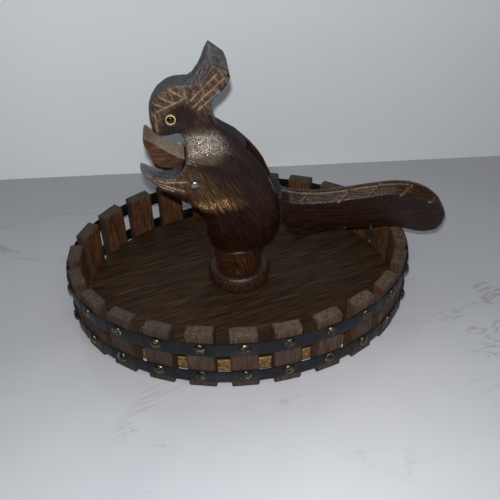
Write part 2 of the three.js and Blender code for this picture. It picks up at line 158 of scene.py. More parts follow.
# Side feathers of the crest: their outline, and how far out they and the thinner middle reach
FEATHER = [
    (-37.5, 195.2), (-34.2, 197.9), (-31.0, 202.2), (-27.6, 208.4), (-15.6, 202.2), (-15.9, 197.4),
    (-19.6, 190.6), (-25.6, 184.5), (-37.5, 184.5),
]
FEATHER_EDGE = FEATHER[:7]
FEATHER_END = FEATHER[3:5]
FEATHER_WIDTH = 9.4
FEATHER_RIM = 1.8
CREST_WIDTH = 5.2
CREST_FOOT = 186

# Cheeks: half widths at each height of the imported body, and those that they are moved to
CHEEK_CORE = 9.8
CHEEK_HEIGHTS = [125.0, 131.1, 138.0, 144.0, 149.0, 154.0, 159.5, 164.0, 170.0]
CHEEK_BEFORE = [20.0, 19.8, 19.0, 17.6, 16.0, 14.2, 12.1, 10.9, 10.4]
CHEEK_AFTER = [20.0, 20.1, 20.1, 19.6, 17.6, 14.1, 10.9, 10.5, 10.4]
CHEEK_BLEND = 19
CHEEK_ROUNDING = 2.2
CHEEK_MIDDLE = (-31.0, 150.0)

# Neck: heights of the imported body, and those that they are moved to
NECK_JOINT = 57.6
NECK_HEIGHTS = [45.0, 61.3, 95.0]
NECK_LOWERED = [45.0, 57.6, 95.0]
NECK_RADII = (12, 26)

# Mouth's floor and fixed beak: how they slope down to both sides, and how their tips are reshaped
MOUTH_FLOOR = [(-81.5, 140.0), (-76.2, 135.3), (-67.4, 132.0), (-58.4, 132.7), (-52.0, 137.5)]
MOUTH_SLOPE_START = 9.5
MOUTH_SLOPE = 0.32
MOUTH_BLEND = 9.0
MOUTH_FADE = 6
BEAK_TIP_SLOPE = 1.1
BEAK_HEIGHTS = [123.0, 129.0, 134.0, 137.0, 142.0]
BEAK_PUSHES = [0.0, 1.2, 2.2, 1.8, 0.4]
BEAK_LIFT_PLACES = [-84.0, -81.5, -77.0, -73.5, -70.0, -64.0]
BEAK_LIFTS = [0.6, 1.6, 4.4, 3.6, 2.2, 0.0]
BEAK_LOW = 124
BEAK_HIGH = 143
BEAK_BACK = -50
BEAK_FRONT = -75
BEAK_FRONT_LOW = 131
FAR_TIP = -72.0
FAR_PRONG_BACK = -64
FAR_PRONG_HEIGHTS = (133, 150)

# Patches on the bird's sides, one a painted sheen on the cheek and the others worn: the middle of each in x and
# z, and its radii
CHEEK_SHEEN = ((-38.0, 149.5), (15, 13))
DRY_BEAK = ((-60, 128), (22, 12))
DARK_TEMPLE = ((-47, 177), (12, 8))
GOLD_THROAT = ((-31, 104), (21, 6))
GOLD_BREAST = ((-33, 112), (20, 14))
GOLD_CHIN = ((-45, 126), (12, 8))
CARVED_GRAIN_LEAN = math.radians(25)


def srgb(red, green, blue):
    """A colour from its eight-bit values on a screen."""
    shares = [value / 255 for value in (red, green, blue)]
    return tuple(s / 12.92 if s <= 0.04045 else ((s + 0.055) / 1.055) ** 2.4 for s in shares)


def linked(name, data):
    """A new object in the scene."""
    thing = bpy.data.objects.new(name, data)
    scene.collection.objects.link(thing)
    return thing


def make_camera():
    data = bpy.data.cameras.new("camera")
    data.lens = CAMERA_LENS
    data.sensor_width = SENSOR_WIDTH
    camera = linked("camera", data)
    level_right = Vector((math.cos(CAMERA_TURN), -math.sin(CAMERA_TURN), 0))
    level_ahead = Vector((math.sin(CAMERA_TURN), math.cos(CAMERA_TURN), 0))
    ahead = level_ahead * math.cos(CAMERA_TILT) - UP * math.sin(CAMERA_TILT)
    level_up = level_right.cross(ahead)
    right = level_right * math.cos(CAMERA_ROLL) - level_up * math.sin(CAMERA_ROLL)
    up = level_right * math.sin(CAMERA_ROLL) + level_up * math.cos(CAMERA_ROLL)
    pose = Matrix((right, up, -ahead)).transposed().to_4x4()
    pose.translation = TRAY_MIDDLE + CAMERA_SPOT
    camera.matrix_world = pose
    scene.camera = camera


class Finish:
    """A node material built up by short calls, each of which returns the socket that carries its result."""

    def __init__(self, name, **inputs):
        self.material = bpy.data.materials.new(name)
        self.material.use_nodes = True
        self.tree = self.material.node_tree
        self.shader = self.tree.nodes["Principled BSDF"]
        self.feed_all(self.shader, inputs)

    def feed(self, socket, value):
        """Gives a socket a result, a number, or a colour in eight bits."""
        if isinstance(value, bpy.types.NodeSocket):
            self.tree.links.new(value, socket)
        elif socket.type == "RGBA":
            socket.default_value = (*srgb(*value), 1)
        else:
            socket.default_value = value

    def feed_all(self, node, inputs):
        for name, value in inputs.items():
            self.feed(node.inputs[name.replace("_", " ")], value)

    def node(self, kind, **inputs):
        """A new node, whose named inputs take these values or results."""
        node = self.tree.nodes.new("ShaderNode" + kind)
        self.feed_all(node, inputs)
        return node

    def look(self, name, output="Fac"):
        """What set_look stored under this name."""
        node = self.node("Attribute")
        node.attribute_name = name
        return node.outputs[output]

    def place(self):
        return self.node("TexCoord").outputs["Object"]

    def part(self, vector, axis):
        return self.node("SeparateXYZ", Vector=vector).outputs[axis]

    def scaled(self, vector, scale, turn=0.0):
        if turn:
            vector = self.node("Mapping", Vector=vector, Rotation=(0, 0, turn)).outputs[0]
        return self.node("Mapping", Vector=vector, Scale=scale).outputs[0]

    def noise(self, vector, scale, detail=4.0, roughness=0.55, distortion=0.0, turn=0.0):
        """Cloudy noise that varies this many times per unit along each axis."""
        place = self.scaled(vector, scale, turn)
        clouds = self.node("TexNoise", Vector=place, Scale=1.0, Detail=detail, Roughness=roughness)
        clouds.inputs["Distortion"].default_value = distortion
        return clouds.outputs["Fac"]

    def ramp(self, value, *stops):
        """Turns a number into a colour by stops: (number, red, green, blue) in eight bits, or (number, level)."""
        node = self.node("ValToRGB", Fac=value)
        elements = node.color_ramp.elements
        while len(elements) < len(stops):
            elements.new(1.0)
        for element, (position, *colour) in zip(elements, stops):
            element.position = position
            element.color = (*(srgb(*colour) if len(colour) > 1 else colour * 3), 1)
        return node.outputs["Color"]

    def mix(self, share, low, high, blend="MIX"):
        node = self.node("Mix")
        node.data_type = "RGBA"
        node.blend_type = blend
        colours = [socket for socket in node.inputs if socket.type == "RGBA"]
        self.feed(node.inputs[0], share)
        self.feed(colours[0], low)
        self.feed(colours[1], high)
        return next(socket for socket in node.outputs if socket.type == "RGBA")

    def math(self, operation, first, second, clamp=False):
        node = self.node("Math")
        node.operation = operation
        node.use_clamp = clamp
        self.feed(node.inputs[0], first)
        self.feed(node.inputs[1], second)
        return node.outputs[0]

    def times(self, first, second, clamp=False):
        return self.math("MULTIPLY", first, second, clamp)

    def plus(self, first, second, clamp=False):
        return self.math("ADD", first, second, clamp)

    def larger(self, first, second):
        return self.math("MAXIMUM", first, second)

    def spread(self, value, low, high):
        return self.node("MapRange", Value=value, To_Min=low, To_Max=high).outputs["Result"]

    def bump(self, height, strength, depth):
        """Raises the surface in the light by up to a depth in millimetres."""
        node = self.node("Bump", Height=height, Strength=strength, Distance=depth * MM)
        self.feed(self.shader.inputs["Normal"], node.outputs["Normal"])

    def open_behind(self):
        """Lets a wall be looked through from its back."""
        both = self.node("MixShader")
        self.feed(both.inputs[0], self.node("NewGeometry").outputs["Backfacing"])
        self.feed(both.inputs[1], self.shader.outputs[0])
        self.feed(both.inputs[2], self.node("BsdfTransparent").outputs[0])
        self.feed(self.tree.nodes["Material Output"].inputs["Surface"], both.outputs[0])

    def done(self, colour, roughness=None):
        self.feed(self.shader.inputs["Base Color"], colour)
        if roughness is not None:
            self.feed(self.shader.inputs["Roughness"], roughness)
        return self.material


def carved_finish():
    """Dark red-brown varnish over streaky wood, worn golden on the throat and pale in the cuts, with a painted
    sheen that lightens the cheeks and the jaw's top and painted shade that darkens the back of the neck and the
    lever's shank in its slot.
    """
    f = Finish("carved_wood", Specular_IOR_Level=0.3)
    grain = f.look("grain", "Vector")
    streaks = f.noise(grain, (1.2, 1.2, 0.07), 7.0, 0.7, 0.5)
    patches = f.noise(grain, (0.09, 0.09, 0.05), 3.0)
    flecks = f.noise(grain, (0.5, 0.5, 0.2), 6.0, 0.72)
    dark = f.ramp(streaks, (0.36, 5, 2, 1), (0.5, 15, 6, 2), (0.66, 58, 29, 12))
    tinted = f.mix(f.ramp(patches, (0.35, 0.0), (0.7, 0.7)), dark, (34, 12, 4))
    dry = f.ramp(flecks, (0.34, 40, 27, 20), (0.5, 76, 58, 44), (0.66, 122, 100, 80))
    dried = f.mix(f.times(f.look("dry"), f.ramp(flecks, (0.3, 0.2), (0.6, 1.0))), tinted, dry)
    red = f.ramp(streaks, (0.36, 26, 12, 7), (0.5, 60, 32, 19), (0.66, 118, 76, 46))
    reddened = f.mix(f.look("red"), dried, red)
    # Slate grey: the wood's own grey on the brow and crest; on the beak's top it is partly a painted sheen
    slate = f.ramp(flecks, (0.32, 34, 37, 42), (0.52, 58, 61, 66), (0.7, 96, 95, 93))
    slated = f.mix(f.look("slate"), reddened, slate)
    # Painted sheen: this pale wash stands in for light caught by the varnish on the cheeks, and on the jaw's top
    # it mixes with real wear
    pale = f.ramp(flecks, (0.32, 100, 84, 68), (0.6, 160, 143, 121))
    weathered = f.mix(f.look("pale"), slated, pale)
    gold = f.ramp(streaks, (0.4, 30, 17, 8), (0.51, 72, 47, 23), (0.62, 146, 110, 66))
    rubbed = f.mix(f.times(f.look("gold"), 0.95, clamp=True), weathered, gold)
    chips = f.noise(grain, (0.55, 0.55, 0.16), 7.0, 0.72, 0.8)
    bare = f.ramp(f.plus(f.times(f.look("gold"), 0.22), chips), (0.765, 0.0), (0.785, 1.0))
    chipped = f.mix(bare, rubbed, f.ramp(flecks, (0.35, 132, 100, 64), (0.6, 182, 150, 108)))
    edged = f.mix(f.times(f.look("edge"), 0.7), chipped, (92, 80, 68))
    cut_wood = f.ramp(flecks, (0.35, 92, 74, 58), (0.65, 160, 138, 114))
    worn = f.ramp(f.noise(grain, (0.22, 0.22, 0.22), 5.0, 0.7), (0.36, 0.25), (0.56, 1.0))
    lined = f.mix(f.times(f.look("cut"), worn), edged, cut_wood)
    # Painted shade: darkens the colour towards near black on the back of the neck and where the lever sits in its
    # slot
    colour = f.mix(f.look("shade"), lined, (14, 9, 6))
    dull = f.larger(f.look("edge"), f.larger(f.look("cut"), f.look("dry")))
    dull = f.larger(f.look("slate"), dull)
    dull = f.larger(f.times(f.look("shade"), 1.6), dull)
    worn_gloss = f.plus(f.spread(flecks, 0.06, 0.56), f.times(dull, 0.34))
    roughness = f.math("SUBTRACT", worn_gloss, f.times(f.look("gloss"), 0.2), clamp=True)
    pebbles = f.noise(grain, (0.8, 0.8, 0.6), 3.0)
    f.bump(f.plus(f.times(streaks, 0.5), f.times(pebbles, 1.25)), 0.7, 0.5)
    return f.done(colour, roughness)


def slat_finish():
    """Stained slats: orange-brown inside, grey-brown outside, and rough greyish end grain."""
    f = Finish("slat_wood", Specular_IOR_Level=0.12)
    grain = f.look("grain", "Vector")
    streaks = f.noise(grain, (1.3, 1.3, 0.06), 6.0, 0.65, 0.3)
    patches = f.noise(grain, (0.1, 0.1, 0.06), 3.0)
    pores = f.noise(grain, (1.6, 1.6, 1.6), 4.0, 0.7)
    outer = f.ramp(streaks, (0.3, 30, 22, 18), (0.48, 70, 55, 46), (0.75, 112, 92, 78))
    inner = f.ramp(streaks, (0.36, 27, 16, 9), (0.5, 72, 45, 26), (0.66, 116, 80, 50))
    end = f.ramp(pores, (0.36, 32, 25, 19), (0.5, 82, 66, 49), (0.66, 142, 119, 92))
    blotches = f.noise(grain, (0.3, 0.3, 0.3), 4.0, 0.65)
    end = f.mix(f.ramp(blotches, (0.42, 0.0), (0.6, 0.75)), end, (52, 50, 48))
    grey_share = f.spread(f.look("tone"), 0.0, 0.7)
    sides = f.mix(f.look("inside"), f.mix(grey_share, outer, (46, 42, 40)), inner)
    tinted = f.mix(f.ramp(patches, (0.35, 0.0), (0.65, 0.45)), sides, (60, 40, 28))
    all_sides = f.mix(f.look("end"), tinted, f.mix(grey_share, end, (44, 43, 44)))
    colour = f.mix(f.times(f.look("edge"), 0.6), all_sides, (30, 23, 19))
    f.bump(f.mix(f.look("end"), streaks, pores), 0.6, 0.6)
    return f.done(colour, f.spread(patches, 0.5, 0.75))


def board_finish():
    """The board's streaky stained top, and its raw tan edge that shows between the slats and runs onto the
    rounded rim as a worn edge and a painted highlight.
    """
    f = Finish("board_wood", Specular_IOR_Level=0.12)
    place = f.place()
    turn = math.radians(BOARD_GRAIN_TURN)
    streaks = f.noise(place, (34, 1050, 1050), 7.0, 0.68, 0.25, turn)
    bands = f.noise(place, (9, 70, 70), 4.0, 0.6, 0.4, turn)
    top = f.ramp(streaks, (0.38, 16, 10, 5), (0.5, 40, 28, 16), (0.63, 76, 56, 35))
    shaded = f.mix(f.ramp(bands, (0.35, 0.0), (0.7, 0.5)), top, (34, 23, 15))
    grit = f.noise(place, (300, 300, 500), 5.0, 0.7)
    raw = f.ramp(grit, (0.34, 66, 47, 29), (0.5, 118, 88, 56), (0.66, 166, 136, 94))
    # The raw colour reaches onto the rounded rim: partly a worn edge, partly a painted highlight along the rim
    upwards = f.part(f.node("TexCoord").outputs["Normal"], "Z")
    flat = f.ramp(f.math("ABSOLUTE", upwards, 0.0), (0.7, 0.0), (0.97, 1.0))
    f.bump(streaks, 0.4, 0.35)
    return f.done(f.mix(flat, raw, shaded), f.spread(bands, 0.42, 0.62))


def iron_finish():
    """Dark blued iron with a few rusty specks."""
    f = Finish("band_iron", Metallic=0.55)
    place = f.place()
    cloud = f.noise(place, (70, 70, 140), 5.0, 0.6)
    specks = f.noise(place, (900, 900, 900), 3.0)
    blue = f.ramp(cloud, (0.3, 9, 11, 14), (0.52, 19, 22, 27), (0.75, 40, 44, 49))
    rusty = f.ramp(specks, (0.62, 0.0), (0.8, 0.5))
    f.bump(f.plus(cloud, f.times(specks, 0.3)), 0.25, 0.3)
    return f.done(f.mix(rusty, blue, (82, 66, 54)), f.spread(cloud, 0.36, 0.56))


def brass_finish():
    """Old brass, dark with tarnish and bright where it is rubbed."""
    f = Finish("nail_brass", Metallic=0.85)
    cloud = f.noise(f.place(), (420, 420, 420), 4.0, 0.65)
    tarnish = f.ramp(cloud, (0.38, 30, 26, 21), (0.54, 72, 64, 51), (0.68, 158, 148, 124))
    f.bump(cloud, 0.5, 0.3)
    return f.done(tarnish, f.spread(cloud, 0.46, 0.24))


def steel_finish():
    f = Finish("steel", Metallic=1.0)
    scuffs = f.noise(f.place(), (900, 300, 900), 4.0)
    f.bump(scuffs, 0.12, 0.1)
    return f.done(f.ramp(scuffs, (0.3, 104, 104, 100), (0.7, 166, 166, 161)), f.spread(scuffs, 0.26, 0.42))


def enamel_finish(name, low, high, roughness):
    """Glossy enamel that varies a little between two colours in eight bits."""
    f = Finish(name, Roughness=roughness, Specular_IOR_Level=0.35, Coat_Weight=0.15, Coat_Roughness=0.05)
    cloud = f.noise(f.place(), (700, 700, 700), 3.0)
    f.bump(cloud, 0.1, 0.1)
    return f.done(f.ramp(cloud, (0.3, *low), (0.7, *high)))


def wall_finish():
    """Pale paint, with painted shade that dims it a little towards the right."""
    f = Finish("wall", Roughness=0.7, Specular_IOR_Level=0.2)
    place = f.place()
    f.open_behind()
    paint = f.ramp(f.noise(place, (1, 1, 1), 3.0), (0.35, 222, 227, 231), (0.65, 228, 233, 236))
    along = f.plus(f.times(f.part(place, "X"), 1.6), 0.42, clamp=True)
    # Painted shade: the light's fall-off across the wall
    dim = f.ramp(along, (0.1, 255, 255, 255), (0.8, 236, 235, 235))
    return f.done(f.mix(1.0, paint, dim, "MULTIPLY"))


def floor_finish():
    """Pale polished stone with faint clouds and a few thin veins, darker away from the lamp."""
    f = Finish("floor", Roughness=0.14, Specular_IOR_Level=0.4)
    place = f.place()
    cloud = f.noise(place, (3, 4, 3), 4.0, 0.55, 0.5)
    stone = f.ramp(cloud, (0.35, 200, 203, 209), (0.65, 214, 216, 221))
    wander = f.noise(place, (4, 9, 4), 5.0, 0.6, 1.2)
    vein = f.ramp(f.math("ABSOLUTE", f.math("SUBTRACT", wander, 0.5), 0.0), (0.0, 0.5), (0.012, 0.0))
    patchy = f.ramp(f.noise(place, (7, 7, 7), 2.0), (0.5, 0.0), (0.62, 1.0))
    veined = f.mix(f.times(vein, patchy), stone, (150, 142, 134))
    away = f.times(f.plus(f.part(place, "Y"), 0.3), 2.2, clamp=True)
    dim = f.ramp(away, (0.0, 255, 255, 255), (0.6, 208, 207, 206), (1.0, 198, 197, 196))
    return f.done(f.mix(1.0, veined, dim, "MULTIPLY"))


FINISHES = {
    "carved_wood": carved_finish(),
    "slat_wood": slat_finish(),
    "board_wood": board_finish(),
    "band_iron": iron_finish(),
    "nail_brass": brass_finish(),
    "steel": steel_finish(),
    "eye_ring": enamel_finish("eye_ring", (134, 122, 74), (202, 190, 130), 0.3),
    "pupil": enamel_finish("pupil", (3, 3, 3), (9, 8, 8), 0.1),
}


def piece_from(name, mesh, slot, sharp_angle, replaced=(), body="stand"):
    """Puts a mesh in the scene as a piece, with its finish, its body and the nodes that it stands for."""
    mesh.name = name
    mesh.shade_smooth()
    mesh.set_sharp_from_angle(angle=math.radians(sharp_angle))
    mesh.materials.clear()
    mesh.materials.append(FINISHES[slot])
    piece = linked(name, mesh)
    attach(piece, body)
    if replaced:
        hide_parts(*replaced)


def set_look(mesh, name, values):
    """Stores a number or a vector for each corner of a mesh, for its finish to read."""
    values = np.asarray(values, dtype=np.float32)
    kind, field = ("FLOAT_VECTOR", "vector") if values.ndim > 1 else ("FLOAT", "value")
    attribute = mesh.attributes.new(name, kind, "POINT")
    attribute.data.foreach_set(field, values.ravel())


def unit(values):
    return np.clip(values, 0, 1)


def rise(values, start, end):
    """0 up to the start and 1 from the end on; the end may be the lower of the two."""
    return unit((values - start) / (end - start))


def box_of(name):
    """A CAD node's lowest and highest corner, and the middle of its box."""
    low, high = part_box(name)
    return low, high, (low + high) / 2


def welded(node_name):
    """A copy of a CAD node's mesh whose corners are joined, for editing."""
    edit = bmesh.new()
    edit.from_mesh(nodes[node_name].data)
    bmesh.ops.remove_doubles(edit, verts=edit.verts, dist=0.002 * MM)
    return edit


def mesh_of(edit):
    mesh = bpy.data.meshes.new("shape")
    bmesh.ops.recalc_face_normals(edit, faces=edit.faces)
    edit.to_mesh(mesh)
    edit.free()
    return mesh


def stitch(edit, rings, closed=False):
    """Joins each ring of corners to the next by faces; a ring may also be a single corner."""
    pairs = list(zip(rings, rings[1:])) + ([(rings[-1], rings[0])] if closed else [])
    for lower, upper in pairs:
        for step in range(max(len(lower), len(upper))):
            corners = []
            for ring, place in ((lower, step), (lower, step + 1), (upper, step + 1), (upper, step)):
                corner = ring[place % len(ring)]
                if corner not in corners:
                    corners.append(corner)
            if len(corners) > 2:
                edit.faces.new(corners)


def lathe(profile, sides, middle, axis):
    """A turned mesh about an axis through a point, from a closed profile of (radius, along) in metres."""
    edit = bmesh.new()
    turn = UP.rotation_difference(Vector(axis)).to_matrix()
    rings = []
    for radius, along in profile:
        angles = [2 * math.pi * step / sides for step in range(sides if radius else 1)]
        points = [turn @ Vector((radius * math.cos(a), radius * math.sin(a), along)) for a in angles]
        rings.append([edit.verts.new(Vector(middle) + point) for point in points])
    stitch(edit, rings, closed=profile[0][0] > 0)
    return mesh_of(edit)


def block_lattice(size, edge, cells):
    """A box's surface as a lattice of quads that is finer along its edges: corner places and faces."""
    lines = []
    for length, count in zip(size, cells):
        half = length / 2
        inner = np.linspace(-(half - edge), half - edge, count + 1)
        lines.append([-half, -half + edge * 0.35, *inner, half - edge * 0.35, half])
    last = [len(line) - 1 for line in lines]
    index = {}
    places = []
    faces = []

    def corner(key):
        if key not in index:
            index[key] = len(places)
            places.append([lines[axis][key[axis]] for axis in range(3)])
        return index[key]

    for axis in range(3):
        first, second = (axis + 1) % 3, (axis + 2) % 3
        for end in (0, last[axis]):
            for i in range(last[first]):
                for j in range(last[second]):
                    keys = []
                    for di, dj in ((0, 0), (1, 0), (1, 1), (0, 1)):
                        key = [0, 0, 0]
                        key[axis] = end
                        key[first] = i + di
                        key[second] = j + dj
                        keys.append(corner(tuple(key)))
                    faces.append(keys if end else keys[::-1])
    return np.array(places), faces


def slat_directions(name):
    """A slat's middle, its outward direction and the way along the rim, from its broadest upright faces."""
    middle = box_of(name)[2]
    outwards = middle - TRAY_MIDDLE
    areas = {}
    for face in nodes[name].data.polygons:
        if abs(face.normal.z) < 0.1:
            normal = face.normal if face.normal.dot(outwards) > 0 else -face.normal
            key = (round(normal.x, 3), round(normal.y, 3))
            areas[key] = areas.get(key, 0) + face.area
    out = Vector((*max(areas, key=areas.get), 0)).normalized()
    return middle, out, Vector((-out.y, out.x, 0))


def slat_extent(name, direction):
    """A slat's size along a direction."""
    places = [direction.dot(vertex.co) for vertex in nodes[name].data.vertices]
    return max(places) - min(places)


def wave(spot, turns, height):
    return noise.noise(spot * turns) * height


def make_slat(name, draw):
    """A slat with worn, slightly uneven edges and rough sawn ends."""
    middle, out, along = slat_directions(name)
    low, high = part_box(name)
    size = Vector((slat_extent(name, along), slat_extent(name, out), high.z - low.z)) / MM
    half = np.array(size) / 2
    places, faces = block_lattice(size, SLAT_EDGE, SLAT_CELLS)
    core = np.clip(places, SLAT_EDGE - half, half - SLAT_EDGE)
    over = places - core
    reach = np.linalg.norm(over, axis=1, keepdims=True)
    normals = over / np.maximum(reach, 1e-9)
    corners = (np.abs(over) > 0.3 * SLAT_EDGE).sum(axis=1) > 1
    worn = np.where(reach > SLAT_EDGE, core + normals * SLAT_EDGE, places)
    seed = Vector([draw.uniform(0, 90) for _ in range(3)])
    for row, place in enumerate(worn):
        spot = Vector(place) + seed
        push = sum(wave(spot, *sizes) for sizes in SLAT_WAVES)
        if abs(normals[row][2]) > 0.7:
            push += wave(spot, *SLAT_END_WAVE) - SLAT_END_WEAR
        if corners[row]:
            push -= SLAT_CORNER_WEAR + max(0.0, wave(spot, *SLAT_CORNER_CHIPS))
        worn[row] += normals[row] * min(push, SLAT_PROUDEST)
    x, _, z = worn.T
    z[:] = np.maximum(z, -half[2])
    top_share = unit(z / half[2])
    z += top_share * draw.uniform(*SLAT_TALLER) + top_share * x * draw.uniform(-0.04, 0.04)
    x += z * draw.uniform(-0.014, 0.014) + draw.uniform(-0.35, 0.35)
    turn = np.array(Matrix((along, out, UP)))
    mesh = bpy.data.meshes.new(name)
    mesh.from_pydata((worn @ turn) * MM + np.array(middle), [], faces)
    # Slats towards the back and the left of the tray are made greyer, and any slat a little greyer at random
    behind = min(rise(middle.y / MM, 0, 30), 0.85)
    beak_end = 0.7 * rise(middle.x / MM, -40, -60)
    set_look(mesh, "grain", worn + np.array(seed) * 3)
    set_look(mesh, "end", np.abs(normals[:, 2]) > 0.72)
    set_look(mesh, "inside", unit(-normals[:, 1] * 1.5 + 0.2 * (np.abs(normals[:, 0]) > 0.5)))
    set_look(mesh, "edge", corners * 0.8)
    set_look(mesh, "tone", np.full(len(places), max(behind, beak_end, 0.6 * draw.random() ** 2)))
    piece_from(name + "_wood", mesh, "slat_wood", 60, [name])


def make_band(node_name):
    """An iron strip that lies flat on each slat and runs straight between them."""
    low, high, middle = box_of(node_name)
    height = (high.z - low.z) / MM * BAND_HEIGHTS[node_name]
    middle_z = middle.z / MM + BAND_LIFTS[node_name]
    edit = bmesh.new()
    rings = []
    for name in SLATS:
        middle, out, along = slat_directions(name)
        half_width = slat_extent(name, along) / 2 / MM
        face = slat_extent(name, out) / 2 / MM + BAND_GAP
        for side in (-1, 1):
            for past in (-1.4, -0.5, 0.5, 1.4):
                spot = middle / MM + out * face + along * side * (half_width + past)
                spot -= out * max(0.0, past) ** 2 * 0.11
                sag = wave(Vector((spot.x, spot.y, middle_z)), 0.03, 0.35)
                ring = []
                for outwards, up in BAND_SECTION:
                    place = spot + out * outwards
                    place.z = middle_z + up * height + sag
                    ring.append(edit.verts.new(place * MM))
                rings.append(ring)
    stitch(edit, rings, closed=True)
    piece_from(node_name + "_strip", mesh_of(edit), "band_iron", 35, [node_name])


def make_nails(node_name, word, draw):
    """Round-headed nails along one band, none of them quite straight or alike."""
    height = box_of(node_name)[2].z / MM + NAIL_LIFT + BAND_LIFTS[node_name]
    sides = 28
    steps = 8
    profile = [(NAIL_RADIUS * 0.93, -0.1), (NAIL_RADIUS, 0.12)]
    for step in range(1, steps + 1):
        angle = math.pi / 2 * step / steps
        radius = 0.985 * NAIL_RADIUS * math.cos(angle)
        profile.append((radius, 0.12 + 0.95 * NAIL_RISE * math.sin(angle) ** 0.9))
    edit = bmesh.new()
    for name in SLATS:
        middle, out, along = slat_directions(name)
        face = slat_extent(name, out) / 2 / MM + NAIL_SEAT
        spot = Vector((middle.x, middle.y, 0)) / MM + out * face + UP * height
        lean = [draw.uniform(-0.07, 0.07) for _ in range(2)]
        turn = UP.rotation_difference((out + along * lean[0] + UP * lean[1]).normalized()).to_matrix()
        size = draw.uniform(0.95, 1.0)
        seed = Vector((draw.uniform(0, 60), 0, 0))
        rings = []
        for radius, up in profile:
            ring = []
            for step in range(1 if radius < 0.01 else sides):
                angle = 2 * math.pi * step / sides
                local = Vector((radius * math.cos(angle), radius * math.sin(angle), up)) * size
                dent = noise.noise(local * 0.55 + seed) * 0.32
                local *= 1 + dent * 0.12
                local.z -= max(0.0, dent) * 0.8
                ring.append(edit.verts.new((spot + turn @ local) * MM))
            rings.append(ring)
        stitch(edit, rings)
        edit.faces.new(rings[0][::-1])
    piece_from("nails_" + word, mesh_of(edit), "nail_brass", 50)


def make_board():
    """The board with its edges taken off."""
    edit = welded("tray_board")
    bmesh.ops.dissolve_limit(edit, angle_limit=math.radians(0.5), verts=edit.verts, edges=edit.edges)
    rim = [
        edge for edge in edit.edges
        if len(edge.link_faces) == 2 and edge.calc_face_angle(0) > 1
        and all((vertex.co.xy - TRAY_MIDDLE.xy).length > 60 * MM for vertex in edge.verts)
        and abs(edge.verts[0].co.z - edge.verts[1].co.z) < 0.01 * MM
        and min(abs(edge.verts[0].co.z - z) for z in (board_low.z, board_high.z)) < 0.01 * MM
    ]
    bmesh.ops.bevel(edit, geom=rim, offset=BOARD_ROUNDING * MM, segments=3, profile=0.6, affect="EDGES")
    piece_from("board", mesh_of(edit), "board_wood", 30, ["tray_board"])


def make_foot():
    """The turned foot under the neck, with a bead at its top and a scribed line below it."""
    low, high, middle = box_of("turned_foot")
    radius = (high.x - low.x) / 2 / MM
    bore = min((vertex.co.xy - middle.xy).length for vertex in nodes["turned_foot"].data.vertices) / MM
    bottom = (low.z - middle.z) / MM
    top = (high.z - middle.z) / MM
    steps = 28
    start, sweep = FOOT_ARC
    profile = [(bore, bottom), (radius - 4.4, bottom)]
    for step in range(steps + 1):
        angle = math.radians(start + sweep * step / steps)
        out = radius - FOOT_BEAD + FOOT_BEAD * math.cos(angle) ** 0.8
        up = math.sin(angle) * (top - bottom) / 2 * 1.01
        scribe = 0.25 * math.exp(-((up - top * 0.62) / 0.35) ** 2)
        profile.append((out - scribe, max(up, bottom)))
    profile += [(radius - 5.4, top - 0.15), (bore, top)]
    mesh = lathe([(out * MM, up * MM) for out, up in profile], 128, middle, UP)
    places = np.array([vertex.co for vertex in mesh.vertices]) / MM
    outs = np.linalg.norm(places[:, :2] - np.array(middle.xy) / MM, axis=1)
    ups = places[:, 2] - middle.z / MM
    set_look(mesh, "grain", places)
    set_look(mesh, "dry", np.minimum(rise(outs, radius - 3, radius + 3), 0.15))
    set_look(mesh, "red", np.clip(0.4 - ups / 14, 0.05, 0.5))
    set_look(mesh, "edge", 0.1 * np.exp(-((ups - top + 0.6) / 0.8) ** 2))
    piece_from("foot", mesh, "carved_wood", 40, ["turned_foot"])


def make_pin():
    """The pivot pin with a polished dome on each end."""
    low, high, middle = box_of("pivot_pin")
    reach = (high.y - low.y) / 2
    head = (high.x - low.x) / 2
    face = reach - PIN_DOME * MM
    steps = 8
    half = [(PIN_SHANK * MM, face)]
    for step in range(steps):
        angle = math.pi / 2 * step / steps
        half.append((head * math.cos(angle), face + (reach - face) * math.sin(angle)))
    half.append((0, reach))
    profile = [(out, -along) for out, along in half[::-1]] + half
    piece_from("pin", lathe(profile, 40, middle, (0, 1, 0)), "steel", 40, ["pivot_pin"])


def make_screw():
    """The screw under the foot, with a shallow round recess in its head and a thread on its shank."""
    low, high, middle = box_of("base_screw")
    middle.z = low.z
    head = (high.x - low.x) / 2
    depth = SCREW_HEAD_DEPTH * MM
    length = high.z - low.z
    shank = SCREW_SHANK * MM
    pitch = (length - depth - 3 * MM) / SCREW_TURNS
    profile = [(0, 0.5 * MM), (head * 0.35, 0.5 * MM), (head * 0.4, 0.05 * MM)]
    profile += [(head * 0.9, 0), (head, 0.5 * MM), (head, depth * 0.6), (shank, depth)]
    for turn in range(SCREW_TURNS):
        base = depth + turn * pitch
        for share, along in ((0.72, 0.2), (1, 0.55), (0.74, 0.9)):
            profile.append((shank * share, base + pitch * along))
    profile.append((0, length))
    piece_from("screw", lathe(profile, 32, middle, UP), "steel", 30, ["base_screw"])


